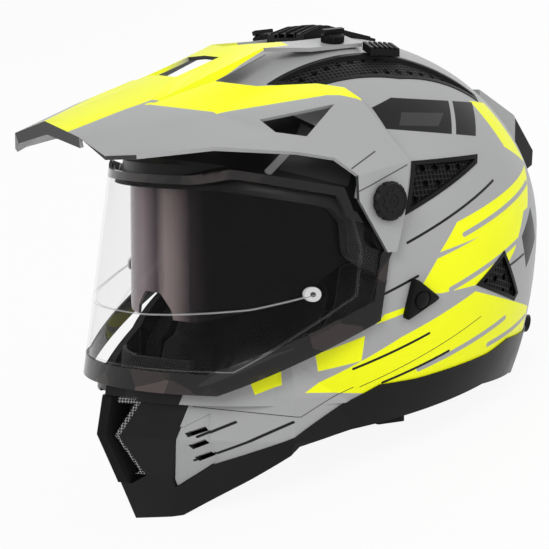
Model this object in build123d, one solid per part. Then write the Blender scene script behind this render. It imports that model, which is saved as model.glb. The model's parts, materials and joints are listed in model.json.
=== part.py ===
from build123d import *
import os
from functools import cache
from math import atan2, cos, degrees, hypot, radians, sin, sqrt

os.makedirs("parts", exist_ok=True)

# Every piece is drawn in the head frame and placed on the table at the end. The head frame's origin
# is the middle of the peak's pivot axis, +X is the wearer's left, -Y is forward and +Z is up.
# Side outlines are (y, z) shares of the shell's half length and crown rise.
# Front outlines are (x, z) shares of its half width and crown rise.

# Skull: two half ellipsoids that meet at the widest level
shell_half_width = 129.0
shell_half_length = 152.0
crown_rise = 129.0
skull_drop = 207.0
skull_back = 51.0
skull_down = 29.0
shell_wall = 4.0
overrun = 60.0
fit_gap = 0.3
seat_gap = 0.4
rest_tilt = 17.0
rest_flat = 1.2

# Brow and face surround: ellipses as (height, half width, half length) shares
brow_level_shares = ((-0.985, 0.853, 1.09), (0.155, 0.876, 0.945), (0.279, 0.76, 0.8))
face_rear_share = 0.132

# Chin bar: (height, nose reach, front corner, cheek, rear) shares
chin_level_shares = (
    (-0.775, -0.77, (0.372, -0.553), (0.713, -0.289), (0.853, 0.132)),
    (-0.946, -0.79, (0.388, -0.579), (0.744, -0.276), (0.829, 0.132)),
    (-1.163, -0.823, (0.333, -0.638), (0.729, -0.276), (0.752, 0.132)),
    (-1.38, -0.737, (0.264, -0.579), (0.643, -0.289), (0.643, 0.132)),
    (-1.643, -0.638, (0.155, -0.566), (0.465, -0.303), (0.434, 0.132)))
chin_rest_share = (-0.651, -1.62)

# Edges of the shell, seen from the side
port_shares = ((-1.2, 0.062), (-0.487, 0.062), (-0.16, -0.015), (-0.105, -0.1), (-0.1, -0.25),
               (0.045, -0.37), (0.013, -0.581), (-0.546, -0.926), (-1.2, -0.926))
port_round = 5.0
trim_line_shares = ((-1.2, -1.72), (-0.572, -1.41), (-0.5, -1.29), (0.066, -0.9), (0.23, -0.884),
                    (0.638, -0.806), (0.79, -0.752), (1.6, -0.752))
bottom_line_shares = ((-1.2, -2.0), (-0.553, -1.586), (-0.25, -1.186), (0.263, -1.062), (0.645, -0.969),
                      (0.987, -0.965), (1.086, -1.03), (1.7, -1.03))
trim_proud = 1.0

# Black chin front, seen from the front, and what sits in its vent
chin_front_shares = ((0.4, -0.9), (0.333, -1.163), (0.24, -1.38), (0.24, -2.1))
chin_front_depth_share = -0.36
chin_front_wall = 5.0
chin_vent_shares = ((0.07, -0.975), (0.18, -0.97), (0.088, -1.175), (0.13, -1.37), (0.05, -1.42))
vent_spine_width = 11.0
vent_spine_depth = 9.0
vent_spine_proud = 2.5
screen_wall = 1.5
screen_strip = 4.5
shutter_wall = 2.0
shutter_set_back = 6.0
shutter_height_shares = (-1.005, -1.09)
shutter_half_width_share = 0.16

# Side gills in the chin bar, seen from the front
gill_shares = ((0.28, -1.1), (0.36, -1.1), (0.45, -1.03), (0.452, -1.25), (0.33, -1.42), (0.2, -1.42))
gill_middle_share = (0.4, -1.185)
gill_slot_height = 3.0
gill_slot_length = 10.0
gill_pitch = 8.0
gill_slope = 28.0
gill_set_back = 0.8
gill_wall = 3.0

# Rubber edge round the eye port
gasket_wall = 3.0
gasket_proud = 0.7
gasket_depth = 6.0

# Clear shield: two ellipses, at its top and its bottom
shield_top_half_width = 131.2
shield_top_half_length = 148.5
shield_low_half_width = 127.4
shield_low_half_length = 172.0
shield_wall = 1.8
shield_outline_shares = ((-1.2, 0.1), (-0.585, 0.108), (-0.487, 0.143), (-0.14, 0.062), (-0.106, -0.047),
                         (-0.04, -0.074), (0.033, -0.085), (0.066, -0.14), (0.066, -0.21),
                         (0.04, -0.28), (0.007, -0.574), (-0.579, -0.92), (-1.2, -0.92))
shield_pivot_down = 22.0
shield_boss_radius = 8.0
pivot_gap = 0.05
insert_pin_radius = 4.5
insert_pin_height = 2.0
insert_pin_share = (-0.25, -0.44)

# Drop-down sun visor inside the eye port
visor_half_width = 112.0
visor_half_length = 135.4
visor_wall = 2.0
visor_outline_shares = ((-0.7, 0.04), (-0.1, 0.04), (-0.02, -0.1), (0.052, -0.13), (0.052, -0.21),
                        (-0.02, -0.25), (-0.2, -0.44), (-0.52, -0.61), (-0.7, -0.61))
visor_nose_shares = ((-0.19, -0.7), (-0.15, -0.56), (-0.07, -0.485), (0.07, -0.485), (0.15, -0.56),
                     (0.19, -0.7))
visor_pin_radius = 4.0
visor_pin_start = 91.0
visor_room_shares = ((0, 0.69), (0.31, 0.635), (0.465, 0.56), (0.62, 0.45), (0.62, 0.255), (0.465, 0.38),
                     (0.31, 0.465), (0, 0.525))
visor_arm_room_shares = ((0.5, 0.54), (0.62, 0.45), (0.72, 0.35), (0.8, 0.25), (0.86, 0.16), (0.86, 0),
                         (0.755, 0), (0.735, 0.08), (0.62, 0.255), (0.5, 0.355))
visor_room_start = 80.0
visor_room_turn = 160.0
visor_arm_room_turn = 212.0
visor_hub_radius = 15.0
lever_length = 22.0
lever_width = 7.0
lever_height = 9.0
lever_share = (0.22, -1.06)
lever_rail_height = 6.0
lever_rail_length = 62.0

# Peak: named corners of one half, as shares of its half width, its reach and its height
peak_half_width = 131.2
peak_reach = 162.0
peak_height = 98.0
peak_wall = 2.6
peak_corner_shares = {
    "lip_mid": (0, -1.0, 0.485), "lip_edge": (0.312, -0.995, 0.398), "lip_under": (0.3, -0.985, 0.33),
    "lip_under_mid": (0, -0.99, 0.4), "back_mid": (0, -0.7, 0.65), "blade_edge": (0.32, -0.716, 0.58),
    "window_mid": (0, -0.5, 0.765), "window_front": (0.14, -0.49, 0.755), "rail_front": (0.262, -0.59, 0.64),
    "rail_low_front": (0.285, -0.56, 0.6), "window_rear": (0.14, -0.29, 0.88), "bridge_mid": (0, -0.285, 0.89),
    "bridge_rear_mid": (0, -0.2, 0.95), "kink_inner": (0.16, -0.165, 0.965), "kink_outer": (0.262, -0.148, 0.94),
    "kink_low": (0.285, -0.15, 0.9), "eye_front_inner": (0.2, 0.03, 0.985), "eye_front_outer": (0.35, 0.03, 0.94),
    "eye_rear_inner": (0.215, 0.278, 1.025), "eye_rear_outer": (0.36, 0.278, 0.975),
    "wing_tip": (0.435, -0.944, 0.289), "wing_low_front": (0.572, -0.877, 0.3),
    "wing_low_mid": (0.747, -0.636, 0.347), "wing_low_rear": (0.89, -0.345, 0.31),
    "wing_low_ear": (0.945, -0.21, 0.27), "wing_crease": (0.57, -0.55, 0.545),
    "wing_top_front": (0.366, -0.432, 0.73), "wing_top_mid": (0.534, -0.33, 0.7),
    "wing_top_rear": (0.61, -0.095, 0.715), "wing_top_back": (0.67, 0.0, 0.69),
    "wing_top_end": (0.735, 0.034, 0.625), "hole_front": (0.7, -0.41, 0.5),
    "hole_top": (0.78, -0.115, 0.59), "hole_low": (0.845, -0.28, 0.4),
    "hole_low_front": (0.765, -0.375, 0.425), "ear_front_top": (1.0, -0.136, 0.165),
    "ear_front": (1.0, -0.13, 0.01), "ear_low_front": (1.0, 0.006, -0.32),
    "ear_low_rear": (1.0, 0.05, -0.32), "ear_rear": (1.0, 0.085, -0.1),
    "ear_rear_top": (0.975, 0.125, 0.24)}
peak_panels = (
    ("lip_under_mid", "lip_under", "lip_edge", "lip_mid"), ("lip_mid", "lip_edge", "blade_edge", "back_mid"),
    ("back_mid", "blade_edge", "window_front", "window_mid"), ("blade_edge", "rail_front", "window_front"),
    ("rail_front", "rail_low_front", "kink_low", "kink_outer"), ("window_front", "rail_front", "window_rear"),
    ("rail_front", "kink_outer", "kink_inner", "window_rear"),
    ("bridge_mid", "window_rear", "kink_inner", "bridge_rear_mid"),
    ("kink_inner", "kink_outer", "eye_front_outer", "eye_front_inner"),
    ("eye_front_inner", "eye_front_outer", "eye_rear_outer", "eye_rear_inner"),
    ("blade_edge", "rail_low_front", "rail_front"), ("lip_edge", "wing_tip", "wing_crease", "blade_edge"),
    ("wing_tip", "wing_low_front", "wing_low_mid", "wing_crease"),
    ("blade_edge", "wing_crease", "wing_top_mid", "wing_top_front"),
    ("wing_crease", "hole_top", "wing_top_rear", "wing_top_mid"),
    ("wing_crease", "hole_front", "hole_top"), ("wing_crease", "wing_low_mid", "hole_low_front", "hole_front"),
    ("wing_low_mid", "wing_low_rear", "hole_low", "hole_low_front"),
    ("wing_low_rear", "wing_low_ear", "hole_low"), ("wing_low_ear", "ear_front_top", "hole_top", "hole_low"),
    ("hole_top", "wing_top_end", "wing_top_back", "wing_top_rear"),
    ("hole_top", "ear_front_top", "ear_rear_top", "wing_top_end"),
    ("ear_front_top", "ear_front", "ear_rear", "ear_rear_top"),
    ("ear_front", "ear_low_front", "ear_low_rear", "ear_rear"))
peak_screw_radius = 2.5
knob_radius = 12.0
knob_height = 5.0
knob_lobes = 12
knob_lobe_radius = 1.1
screw_reach = 14.0

# Thumb screws that hold the peak's eyelets on the crown
crown_screw_x = 37.5
crown_screw_back = 28.0
crown_head_radius = 6.5
crown_head_height = 5.5
crown_wing_length = 15.0
crown_wing_width = 4.0
crown_wing_height = 3.0
peak_travel = 3.5
eye_slot_spare = 1.5
screw_bite = 3.2

# Crown scoop and rear spoiler, seen from the side
scoop_shares = ((0.1, 0.5), (0.115, 0.785), (0.2, 0.82), (0.27, 0.825), (0.4, 0.795), (0.55, 0.765),
                (0.53, 0.5))
scoop_front_half_width = 21.0
scoop_rear_half_width = 12.0
scoop_slot_width = 11.0
scoop_slot_height = 2.6
scoop_slot_share = (0.14, 0.777)
spoiler_shares = ((0.98, 0.5), (1.24, 0.36), (1.395, 0.16), (1.39, 0.08), (1.24, 0.0), (1.0, 0.0))
spoiler_half_width = 44.0
spoiler_tip_half_width = 30.0
spoiler_slot_height = 6.0
spoiler_slot_pitch = 19.0

# Vents in the skull: outline, frame width, and how deep the screen lies
channel_shares = ((0.37, -0.2), (0.388, 0.02), (0.41, 0.32), (0.545, 0.8), (0.6, 0.78), (0.62, 0.33),
                  (0.535, -0.085))
temple_shares = ((0.197, 0.174), (0.572, 0.194), (0.553, 0.151), (0.122, -0.08))
rear_vent_shares = ((0.6875, -0.287), (0.836, -0.52), (0.803, -0.558), (0.5, -0.442))
vent_frame_width = 2.6
vent_frame_proud = 0.5
screen_set_back = 1.6
screen_pitch = 9.0
screen_hole_radius = 2.1
slider_length = 24.0
slider_width = 9.0
slider_height = 5.0
slider_float = 1.3
slider_ribs = 6
slider_share = (0.425, 0.36)

# Strap anchor caps, hooks and webbing
cap_shares = ((0.15, -0.375), (0.295, -0.485), (0.125, -0.59))
cap_height = 3.5
cap_round = 4.0
cap_boss_radius = 5.0
cap_boss_height = 1.5
rivet_radius = 3.5
webbing_width = 22.0
webbing_wall = 2.2
webbing_top = 14.0
webbing_top_share = (0.2, -0.43)
webbing_low_share = (-0.13, -1.1)
sling_drop = 12.0
sling_half_span = 74.0
buckle_length = 42.0
buckle_width = 26.0
buckle_wall = 3.0
buckle_lever_length = 34.0
buckle_lever_width = 20.0
buckle_pin_radius = 0.8
rear_clip_radius = 6.0
rear_clip_height = 9.0
rear_clip_x = 46.0
rear_clip_down = 100.0

# Liners
foam_wall = 30.0
foam_rear_shares = ((-0.9, -0.3), (0.02, -0.31), (0.3, -0.33), (0.72, -0.6), (1.6, -0.73))
crown_pad_wall = 10.0
crown_pad_shares = ((-0.26, 0.26), (0.0, -0.1), (0.7, -0.3), (1.3, -0.3), (1.3, 1.0), (-0.26, 1.0))
cheek_foam_wall = 15.0
face_half_width = 64.0
face_half_length = 112.0
cheek_shares = ((0.03, -0.62), (0.1, -0.33), (0.3, -0.35), (0.66, -0.6), (0.6, -0.93), (0.2, -1.02),
                (-0.18, -1.09), (-0.25, -0.98), (-0.23, -0.83))
neck_roll_shares = ((0.68, -0.74), (1.4, -0.82), (1.4, -0.955), (0.66, -0.93))
neck_roll_wall = 20.0
chin_foam_set_back = 11.0
chin_foam_wall = 14.0
chin_foam_shares = ((-1.0, -0.965), (-0.5, -0.965), (-0.4, -0.92), (-0.33, -1.12), (-0.5, -1.33), (-1.0, -1.33))
guard_set_back = 13.0
guard_wall = 2.5
guard_height = 22.0
guard_half_width_share = 0.32
curtain_wall = 3.0
curtain_shares = ((-0.8, -1.47), (-0.42, -1.36))


def grown(shares, across=shell_half_length, up=crown_rise):
    """Turn outline shares into lengths."""
    return [(a * across, b * up) for a, b in shares]


def side_face(shares):
    return Plane.YZ * Polygon(*grown(shares), align=None)


def front_face(shares):
    return Plane.XZ * Polygon(*grown(shares, shell_half_width), align=None)


def through(face):
    """A side outline carried right across the helmet."""
    return extrude(face, shell_half_width + overrun, both=True)


def leftwards(face):
    """A side outline carried out through the left wall."""
    return extrude(face, shell_half_width + overrun, dir=(1, 0, 0))


def ahead(face):
    """A front outline carried forward from behind the chin bar."""
    start = Pos(0, chin_front_depth_share * shell_half_length, 0)
    return extrude(start * face, shell_half_length, dir=(0, -1, 0))


def both_ways(shares):
    """A half outline and its mirror image as one closed outline."""
    return list(shares) + [(-x, z) for x, z in reversed(shares)]


def largest(shape):
    """Drops slivers that a cut leaves beside the piece itself."""
    return max(shape.solids(), key=lambda solid: solid.volume)


def pair(shape):
    """The left piece and its mirror image on the right."""
    return {"left": shape, "right": mirror(shape, about=Plane.YZ)}


def mitred(points, grow):
    """Move each corner of a closed outline outwards, square to both its sides."""
    moved = []
    for i, point in enumerate(points):
        before, here, after = (Vector(*p) for p in (points[i - 1], point, points[(i + 1) % len(points)]))
        first, second = (here - before).normalized(), (after - here).normalized()
        out_first, out_second = Vector(first.Y, -first.X), Vector(second.Y, -second.X)
        step = (out_first + out_second) * (grow / (1 + out_first.dot(out_second)))
        moved.append((here.X + step.X, here.Y + step.Y))
    return moved


@cache
def skull(grow):
    """Two half ellipsoids joined at the widest level, all grown alike."""
    upper = scale(Sphere(1, arc_size1=0, align=None),
                  by=(shell_half_width + grow, shell_half_length + grow, crown_rise + grow))
    lower = scale(Sphere(1, arc_size2=0, align=None),
                  by=(shell_half_width + grow, shell_half_length + grow, skull_drop + grow))
    return Pos(0, skull_back, -skull_down) * (upper + lower)


def face_surround(grow):
    """The brow and the sill: ruled bands between ellipses, in front of the ears."""
    rings = []
    for z, x, y in brow_level_shares:
        lift = grow if z == brow_level_shares[-1][0] else 0
        ring = Ellipse(x * shell_half_width + grow, y * shell_half_length + grow)
        rings.append(Pos(0, skull_back, z * crown_rise + lift) * ring)
    length = 2 * shell_half_length + overrun
    front = Pos(0, face_rear_share * shell_half_length - length / 2, 0) * Box(
        2 * shell_half_width + overrun, length, 2 * (crown_rise + skull_drop))
    return loft(rings, ruled=True) & front


def chin_bar(grow):
    """The faceted chin bar: outlines at five heights joined by flat facets."""
    rings = []
    for z, nose, corner, cheek, rear in chin_level_shares:
        half = [(0, nose), corner, cheek, rear]
        whole = half + [(-x, y) for x, y in reversed(half[1:])]
        lengths = [(x * shell_half_width, y * shell_half_length) for x, y in whole]
        rings.append(Pos(0, 0, z * crown_rise) * Polygon(*mitred(lengths, grow), align=None))
    return loft(rings, ruled=True)


@cache
def form(grow):
    """The whole outside of the helmet, grown or shrunk alike, made once for each size."""
    return skull(grow) + face_surround(grow) + chin_bar(grow)


@cache
def wall(outer, inner):
    return form(outer) - form(inner)


def skull_wall(outer, inner):
    return skull(outer) - skull(inner)


def below(shares):
    """All that lies under a line seen from the side."""
    floor = -(skull_drop + overrun) / crown_rise
    return through(side_face(list(shares) + [(shares[-1][0], floor), (shares[0][0], floor)]))


def across(y, z, radius, start, end):
    """A round bar along X, on the wearer's left."""
    return Pos((start + end) / 2, y, z) * Rot(0, 90, 0) * Cylinder(radius, end - start)


port_face = fillet(side_face(port_shares).vertices(), port_round)
port = through(port_face)
under_trim = below(trim_line_shares)
under_bottom = below(bottom_line_shares)
chin_front = ahead(front_face(both_ways(chin_front_shares)))
shield_pivot = (0, -shield_pivot_down)


# Vents in the shell
def channel_prism(inset):
    """The crown channel is drawn from above and cut straight down."""
    lengths = [(x * shell_half_width, y * shell_half_length) for x, y in channel_shares]
    face = Polygon(*lengths, align=None)
    face = offset(face, -inset) if inset else face
    return extrude(Pos(0, 0, crown_rise / 4) * face, crown_rise, dir=(0, 0, 1))


def side_prism(shares, inset):
    """A vent that is drawn from the side and cut through the left wall."""
    face = side_face(shares)
    face = offset(face, -inset, kind=Kind.INTERSECTION) if inset else face
    return leftwards(face)


def perforated(sheet, along, height):
    """Punch a screen with rows of holes that run along the given direction."""
    box = sheet.bounding_box()
    holes = []
    steps_y = int(box.size.Y / screen_pitch)
    steps_o = int((box.size.X if along == "z" else box.size.Z) / screen_pitch)
    for i in range(1, steps_y + 1):
        for j in range(1, steps_o + 1):
            y = box.min.Y + (i - 0.5) * box.size.Y / steps_y
            if along == "z":
                x = box.min.X + (j - 0.5) * box.size.X / steps_o
                holes.append(Pos(x, y, height) * Cylinder(screen_hole_radius, crown_rise))
            else:
                z = box.min.Z + (j - 0.5) * box.size.Z / steps_o
                holes.append(Pos(height, y, z) * Rot(0, 90, 0) * Cylinder(screen_hole_radius, crown_rise))
    return sheet - holes


def vent_pieces(prism, along, height):
    """A vent's moulded frame, which fills the shell's opening, and the screen inside it."""
    frame = skull_wall(vent_frame_proud, -shell_wall) & (prism(0) - prism(vent_frame_width))
    screen = skull_wall(-screen_set_back, -screen_set_back - screen_wall) & prism(vent_frame_width)
    return frame, perforated(screen, along, height)


def temple_prism(inset):
    return side_prism(temple_shares, inset)


def rear_prism(inset):
    return side_prism(rear_vent_shares, inset)


def gill_prism():
    return ahead(front_face(gill_shares))


# Screws of the peak
def peak_corner(name):
    x, y, z = peak_corner_shares[name]
    return Vector(x * peak_half_width, y * peak_reach, z * peak_height)


def crown_axis():
    """Where the crown screw stands on the shell, square to the peak's eyelet."""
    reach_x = crown_screw_x / shell_half_width
    reach_y = (crown_screw_back - skull_back) / shell_half_length
    top = crown_rise * sqrt(1 - reach_x ** 2 - reach_y ** 2) - skull_down
    inner, outer, rear = (peak_corner("eye_" + n) for n in ("front_inner", "front_outer", "rear_inner"))
    normal = (outer - inner).cross(rear - inner)
    return Plane(origin=(crown_screw_x, crown_screw_back, top), x_dir=(rear - inner).cross(normal), z_dir=normal)


crown_plane = crown_axis()
eye_lift = (peak_corner("eye_front_inner") - crown_plane.origin).dot(crown_plane.z_dir)


def crown_slot():
    """The slot that the crown screw's shank slides in when the peak is set lower."""
    travel = radians(peak_travel) * hypot(crown_screw_back, crown_plane.origin.Z)
    width = 2 * (peak_screw_radius + fit_gap)
    face = SlotCenterToCenter(travel + eye_slot_spare, width, rotation=90)
    return extrude(crown_plane * (Pos(0, -travel / 2, 0) * face), crown_rise / 8, both=True)


def crown_screw():
    """A winged thumb screw that is seated on the peak's eyelet, with its shank in the shell's slot."""
    head_low = eye_lift + pivot_gap
    shank = Pos(0, 0, (head_low - screw_bite) / 2) * Cylinder(peak_screw_radius, head_low + screw_bite)
    head = Pos(0, 0, head_low + crown_head_height / 2) * Cylinder(crown_head_radius, crown_head_height)
    wing = Pos(0, 0, head_low + crown_head_height + crown_wing_height / 2) * Box(
        crown_wing_width, crown_wing_length, crown_wing_height)
    return crown_plane * (shank + fillet(head.edges().filter_by(GeomType.CIRCLE).sort_by(Axis.Z)[-1:],
                                         crown_head_height / 6) + wing)


def peak_knob():
    """A lobed dust cap with its screw along the pivot axis."""
    inner = peak_half_width + seat_gap
    disc = across(0, 0, knob_radius, inner, inner + knob_height)
    disc = chamfer(disc.edges().filter_by(GeomType.CIRCLE), knob_lobe_radius)
    lobes = []
    for i in range(knob_lobes):
        turn = radians(i * 360 / knob_lobes)
        y, z = knob_radius * cos(turn), knob_radius * sin(turn)
        lobes.append(across(y, z, knob_lobe_radius, inner - knob_height, inner + 2 * knob_height))
    shank = across(0, 0, peak_screw_radius, inner - screw_reach, inner + knob_height / 2)
    return disc - lobes + shank


# Hard outer pieces
def outer_shell():
    """The shell in one wall, open at the eye port, the neck, the chin front and the vents."""
    shell = wall(0, -shell_wall) - port - under_trim - chin_front
    cuts = [across(0, 0, peak_screw_radius + pivot_gap, shell_half_width / 2, shell_half_width),
            across(*shield_pivot, shield_boss_radius + pivot_gap, shell_half_width / 2, shell_half_width),
            crown_slot(), channel_prism(0), temple_prism(0), rear_prism(0), gill_prism()]
    for cut in cuts:
        shell -= cut
        shell -= mirror(cut, about=Plane.YZ)
    return shell


def bottom_trim():
    band = wall(trim_proud, -shell_wall) & under_trim
    return band - under_bottom - chin_front


def chin_vent_prism():
    return ahead(front_face(both_ways(chin_vent_shares)))


def chin_housing():
    """The black chin front with one open vent, proud of the shell like the trim."""
    housing = wall(trim_proud, -chin_front_wall) & chin_front
    return housing - port - under_bottom - chin_vent_prism()


def chin_vent_spine():
    """The beak that stands down the middle of the chin vent."""
    low, high = chin_vent_shares[-1][1] * crown_rise, chin_vent_shares[0][1] * crown_rise
    length = high - low - 2 * fit_gap
    middle = Pos(0, -shell_half_length, (low + high) / 2) * Box(
        vent_spine_width, shell_half_length, length)
    return (wall(vent_spine_proud, -vent_spine_depth) & middle) & chin_vent_prism()


def chin_screens():
    """Pale perforated strips down both outer edges of the chin vent."""
    opening = front_face(both_ways(chin_vent_shares))
    strip = opening - offset(opening, -screen_strip, kind=Kind.INTERSECTION)
    left = wall(-screen_set_back, -screen_set_back - screen_wall) & ahead(strip)
    room = Box(vent_spine_width + 2 * fit_gap, 4 * shell_half_length, 4 * crown_rise)
    low_edge = chin_vent_shares[-2][1] * crown_rise
    floor = Pos(0, 0, low_edge - crown_rise) * Box(shell_half_width, 4 * shell_half_length, 2 * crown_rise)
    return left - room - floor


def chin_shutter():
    """The plate that slides down behind the chin vent, with a thumb tab inside."""
    high, low = (share * crown_rise for share in shutter_height_shares)
    width = 2 * shutter_half_width_share * shell_half_width
    window = Pos(0, -shell_half_length, (low + high) / 2) * Box(width, shell_half_length, high - low)
    back = -shutter_set_back - vent_spine_depth / 2
    plate = wall(back, back - shutter_wall) & window
    return plate


def gill_louvre():
    """The insert in the side of the chin bar, with slanting slots."""
    insert = wall(-gill_set_back, -gill_set_back - gill_wall) & gill_prism()
    insert = insert - chin_front - under_trim
    middle_x, middle_z = gill_middle_share[0] * shell_half_width, gill_middle_share[1] * crown_rise
    for i in range(3):
        slot = Pos(middle_x, -shell_half_length / 2, middle_z + (i - 1) * gill_pitch) * Rot(
            0, -gill_slope, 0) * Box(gill_slot_length, shell_half_length, gill_slot_height)
        insert -= slot
    return insert


def eyeport_gasket():
    inner = through(offset(port_face, -gasket_wall))
    return wall(gasket_proud, -gasket_depth) & (port - inner)


def crown_scoop():
    """The central intake: a low wedge on the crown with open louvres."""
    side = extrude(side_face(scoop_shares), scoop_front_half_width, both=True)
    taper = Polygon((-scoop_front_half_width, scoop_shares[0][0] * shell_half_length),
                    (scoop_front_half_width, scoop_shares[0][0] * shell_half_length),
                    (scoop_rear_half_width, scoop_shares[5][0] * shell_half_length),
                    (-scoop_rear_half_width, scoop_shares[5][0] * shell_half_length), align=None)
    body = (side & extrude(taper, crown_rise, dir=(0, 0, 1))) - skull(seat_gap)
    y, z = scoop_slot_share[0] * shell_half_length, scoop_slot_share[1] * crown_rise
    for x in (-scoop_slot_width / 2 - scoop_slot_height / 2, scoop_slot_width / 2 + scoop_slot_height / 2):
        body -= Pos(x, y, z) * Box(scoop_slot_width, scoop_rear_half_width * 3, scoop_slot_height)
    return body


def rear_spoiler():
    """The exhaust spoiler: a lip that overhangs the back of the skull."""
    side = extrude(side_face(spoiler_shares), spoiler_half_width, both=True)
    root_y, tip_y = spoiler_shares[0][0] * shell_half_length, spoiler_shares[2][0] * shell_half_length
    taper = Polygon((-spoiler_half_width, root_y), (spoiler_half_width, root_y),
                    (spoiler_tip_half_width, tip_y), (-spoiler_tip_half_width, tip_y), align=None)
    body = (side & extrude(taper, crown_rise, dir=(0, 0, 1))) - skull(seat_gap)
    slot_y = spoiler_shares[3][0] * shell_half_length
    for i in (-1, 0, 1):
        body -= Pos(i * spoiler_slot_pitch, slot_y, spoiler_slot_height * 1.6) * Box(
            spoiler_slot_pitch * 0.7, spoiler_slot_height * 3, spoiler_slot_height)
    return body


def strap_cap():
    """The rounded triangular cover over the strap rivet."""
    prism = leftwards(fillet(side_face(cap_shares).vertices(), cap_round))
    cap = skull_wall(cap_height, 0) & prism
    y, z = grown([webbing_top_share])[0]
    boss = across(y, z, cap_boss_radius, shell_half_width / 2, 2 * shell_half_width)
    return cap + (skull_wall(cap_height + cap_boss_height, 0) & boss)


def strap_rivet():
    """The steel rivet between the cap and the webbing, inside the liner."""
    y, z = grown([webbing_top_share])[0]
    bar = across(y, z, rivet_radius, shell_half_width / 2, shell_half_width)
    return bar & skull_wall(-shell_wall, -shell_wall - fit_gap - cheek_foam_wall)


def vent_slider():
    """A ribbed thumb slide on the upper edge of the crown channel."""
    x, y = slider_share[0] * shell_half_width, slider_share[1] * shell_half_length
    block = Pos(x, y, crown_rise) * Box(slider_width, slider_length, crown_rise * 1.5)
    slider = skull_wall(slider_float + slider_height, slider_float) & block
    pitch = slider_length / slider_ribs
    cutter = skull_wall(slider_float + 2 * slider_height, slider_float + slider_height * 0.7)
    grooves = [Pos(x, y + (i - slider_ribs / 2) * pitch, crown_rise) * Box(
        2 * slider_width, pitch * 0.4, 2 * crown_rise) for i in range(1, slider_ribs)]
    for groove in grooves:
        slider -= cutter & groove
    return slider


def rear_clip():
    """A small knob on the rear trim that holds a goggle strap down."""
    base = Pos(rear_clip_x, 0, -rear_clip_down) * Rot(-90, 0, 0) * Cylinder(
        rear_clip_radius, shell_half_length * 2, align=(Align.CENTER, Align.CENTER, Align.MIN))
    return base & skull_wall(trim_proud + rear_clip_height, trim_proud)


# Peak
def peak_points():
    """Every corner of the peak, left ones under their names and right ones under a marked name."""
    points = {}
    for name in peak_corner_shares:
        points[name] = peak_corner(name)
        points["right " + name] = Vector(-points[name].X, points[name].Y, points[name].Z)
    return points


def folded_sheet(points, panels, thickness):
    """A moulded sheet: flat panels between corners, a second skin inside, and its rims closed."""
    triangles = []
    for panel in panels:
        triangles += [(panel[0], panel[i], panel[i + 1]) for i in range(1, len(panel) - 1)]
    normals = {}
    for a, b, c in triangles:
        normal = (points[b] - points[a]).cross(points[c] - points[a]).normalized()
        for name in (a, b, c):
            normals.setdefault(name, []).append(normal)
    inner = {}
    for name, around in normals.items():
        mean = sum(around, Vector(0, 0, 0)).normalized()
        least = max(min(mean.dot(n) for n in around), 0.6)
        inner[name] = points[name] - mean * (thickness / least)
    edges = [(t[i], t[(i + 1) % 3]) for t in triangles for i in range(3)]
    rims = [(a, b) for a, b in edges if (b, a) not in edges]
    skins = [[points[n] for n in t] for t in triangles]
    skins += [[inner[n] for n in reversed(t)] for t in triangles]
    for a, b in rims:
        skins += [[points[b], points[a], inner[a]], [points[b], inner[a], inner[b]]]
    faces = [Face(Wire.make_polygon(corners, close=True)) for corners in skins]
    return Solid(Shell(faces))


def peak():
    """The peak with its ears over the pivots and its eyelets on the crown."""
    points = peak_points()
    middle = {name for name, (x, y, z) in peak_corner_shares.items() if x == 0}
    panels = list(peak_panels)
    for panel in peak_panels:
        panels.append(tuple(n if n in middle else "right " + n for n in reversed(panel)))
    sheet = folded_sheet(points, panels, peak_wall)
    screw_hole = across(0, 0, peak_screw_radius + pivot_gap, shell_half_width / 2, 2 * shell_half_width)
    shank = crown_plane * Cylinder(peak_screw_radius + pivot_gap, crown_rise / 4)
    for cut in (screw_hole, shank):
        sheet -= cut
        sheet -= mirror(cut, about=Plane.YZ)
    return sheet


# Shield and sun visor
def shield_skin(grow):
    """The shield's surface: a ruled band between its top and bottom ellipses, run past both."""
    top, low = shield_outline_shares[1][1] * crown_rise, shield_outline_shares[-1][1] * crown_rise
    slope_x = (shield_top_half_width - shield_low_half_width) / (top - low)
    slope_y = (shield_top_half_length - shield_low_half_length) / (top - low)
    rings = []
    for z in (top + port_round, low - port_round):
        half_x = shield_low_half_width + slope_x * (z - low) + grow
        half_y = shield_low_half_length + slope_y * (z - low) + grow
        rings.append(Pos(0, skull_back, z) * Ellipse(half_x, half_y))
    return loft(rings, ruled=True)


def shield():
    skin = shield_skin(shield_wall) - shield_skin(0)
    lens = skin & through(side_face(shield_outline_shares))
    hole = across(*shield_pivot, shield_boss_radius + pivot_gap, shell_half_width / 2, 2 * shell_half_width)
    return lens - hole - mirror(hole, about=Plane.YZ)


def shield_boss():
    """The fixed pivot that the shield's arm turns on, flush with the inside of the shell."""
    outer = peak_half_width - peak_wall - seat_gap
    boss = across(*shield_pivot, shield_boss_radius, shell_half_width / 2, outer)
    return boss - form(-shell_wall)


def insert_pin():
    """The pin that holds an anti-fog insert against the shield."""
    y, z = grown([insert_pin_share])[0]
    ray = across(y, z, insert_pin_radius, shell_half_width / 2, shell_half_width)
    return ray & (shield_skin(0) - shield_skin(-insert_pin_height))


def visor_skin(grow):
    band = Ellipse(visor_half_width + grow, visor_half_length + grow)
    return Pos(0, skull_back, 0) * extrude(band, crown_rise, both=True)


def sun_visor():
    """The tinted inner visor, cut out over the nose, with arms to its own pins."""
    lens = (visor_skin(visor_wall) - visor_skin(0)) & through(side_face(visor_outline_shares))
    nose_face = fillet(front_face(visor_nose_shares).vertices(), port_round / 2)
    nose = extrude(nose_face, shell_half_length, dir=(0, -1, 0))
    hole = across(*shield_pivot, visor_pin_radius + pivot_gap, shell_half_width / 2, shell_half_width)
    return lens - nose - hole - mirror(hole, about=Plane.YZ)


def visor_pin():
    """A pin inside the shell for one arm of the sun visor."""
    return across(*shield_pivot, visor_pin_radius, visor_pin_start, shell_half_width) & form(-shell_wall)


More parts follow.
